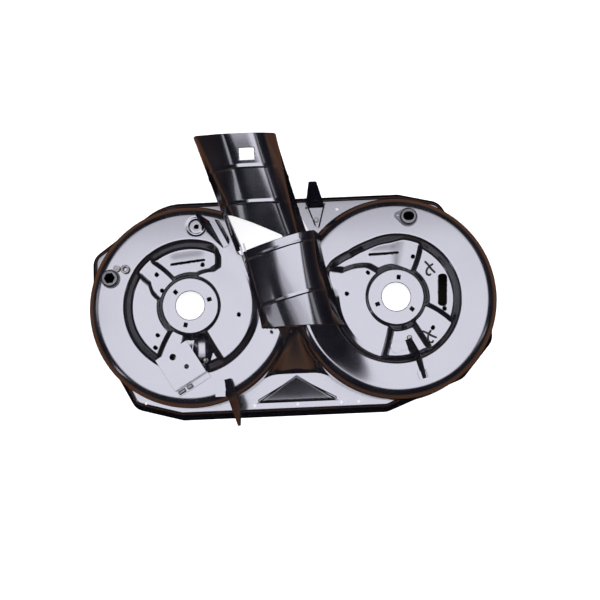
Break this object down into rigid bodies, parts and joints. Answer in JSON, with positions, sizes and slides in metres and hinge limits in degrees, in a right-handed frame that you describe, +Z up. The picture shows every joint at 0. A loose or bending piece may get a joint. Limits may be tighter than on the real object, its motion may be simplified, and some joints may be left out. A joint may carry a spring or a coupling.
{
  "type": "lawn mower deck",
  "caption": "Bare rear-discharge mower deck in pressed black steel: two raised blade rings with sunk spindle pockets, a central discharge chute and a rising rear duct.",
  "frame": {"origin": "midpoint between the two spindle axes, in the plane of the skirt rim", "axes": "+X along the spindle line to the machine's right as seen from above, +Y to the rear where the grass leaves, +Z up"},
  "size_m": [1.0159, 0.6735, 0.287],
  "materials": {
    "deck_enamel": "gloss black stoved enamel on pressed sheet steel",
    "chute_enamel": "gloss black stoved enamel on bent sheet steel",
    "bracket_enamel": "gloss black enamel on cut and bent plate",
    "black_plastic": "moulded black plastic",
    "plated_steel": "bright zinc plating"
  },
  "bodies": {
    "root": {"deck_shell": "deck_enamel", "lower_chute": "chute_enamel", "upper_chute": "chute_enamel", "rear_right_hanger": "bracket_enamel", "rear_left_hanger": "bracket_enamel", "front_left_hanger": "bracket_enamel", "box_bracket": "bracket_enamel", "belt_keeper": "bracket_enamel", "rear_right_hanger_bolt": "plated_steel", "box_bolt": "plated_steel", "belt_keeper_bolt": "plated_steel", "box_latch": "black_plastic", "box_clip": "black_plastic", "left_port": "black_plastic", "right_port": "black_plastic", "left_port_strap": "plated_steel", "left_port_stud": "plated_steel", "seam_screws": "plated_steel", "chute_lugs": "bracket_enamel", "spring_clips": "plated_steel"}
  },
  "joints": []
}
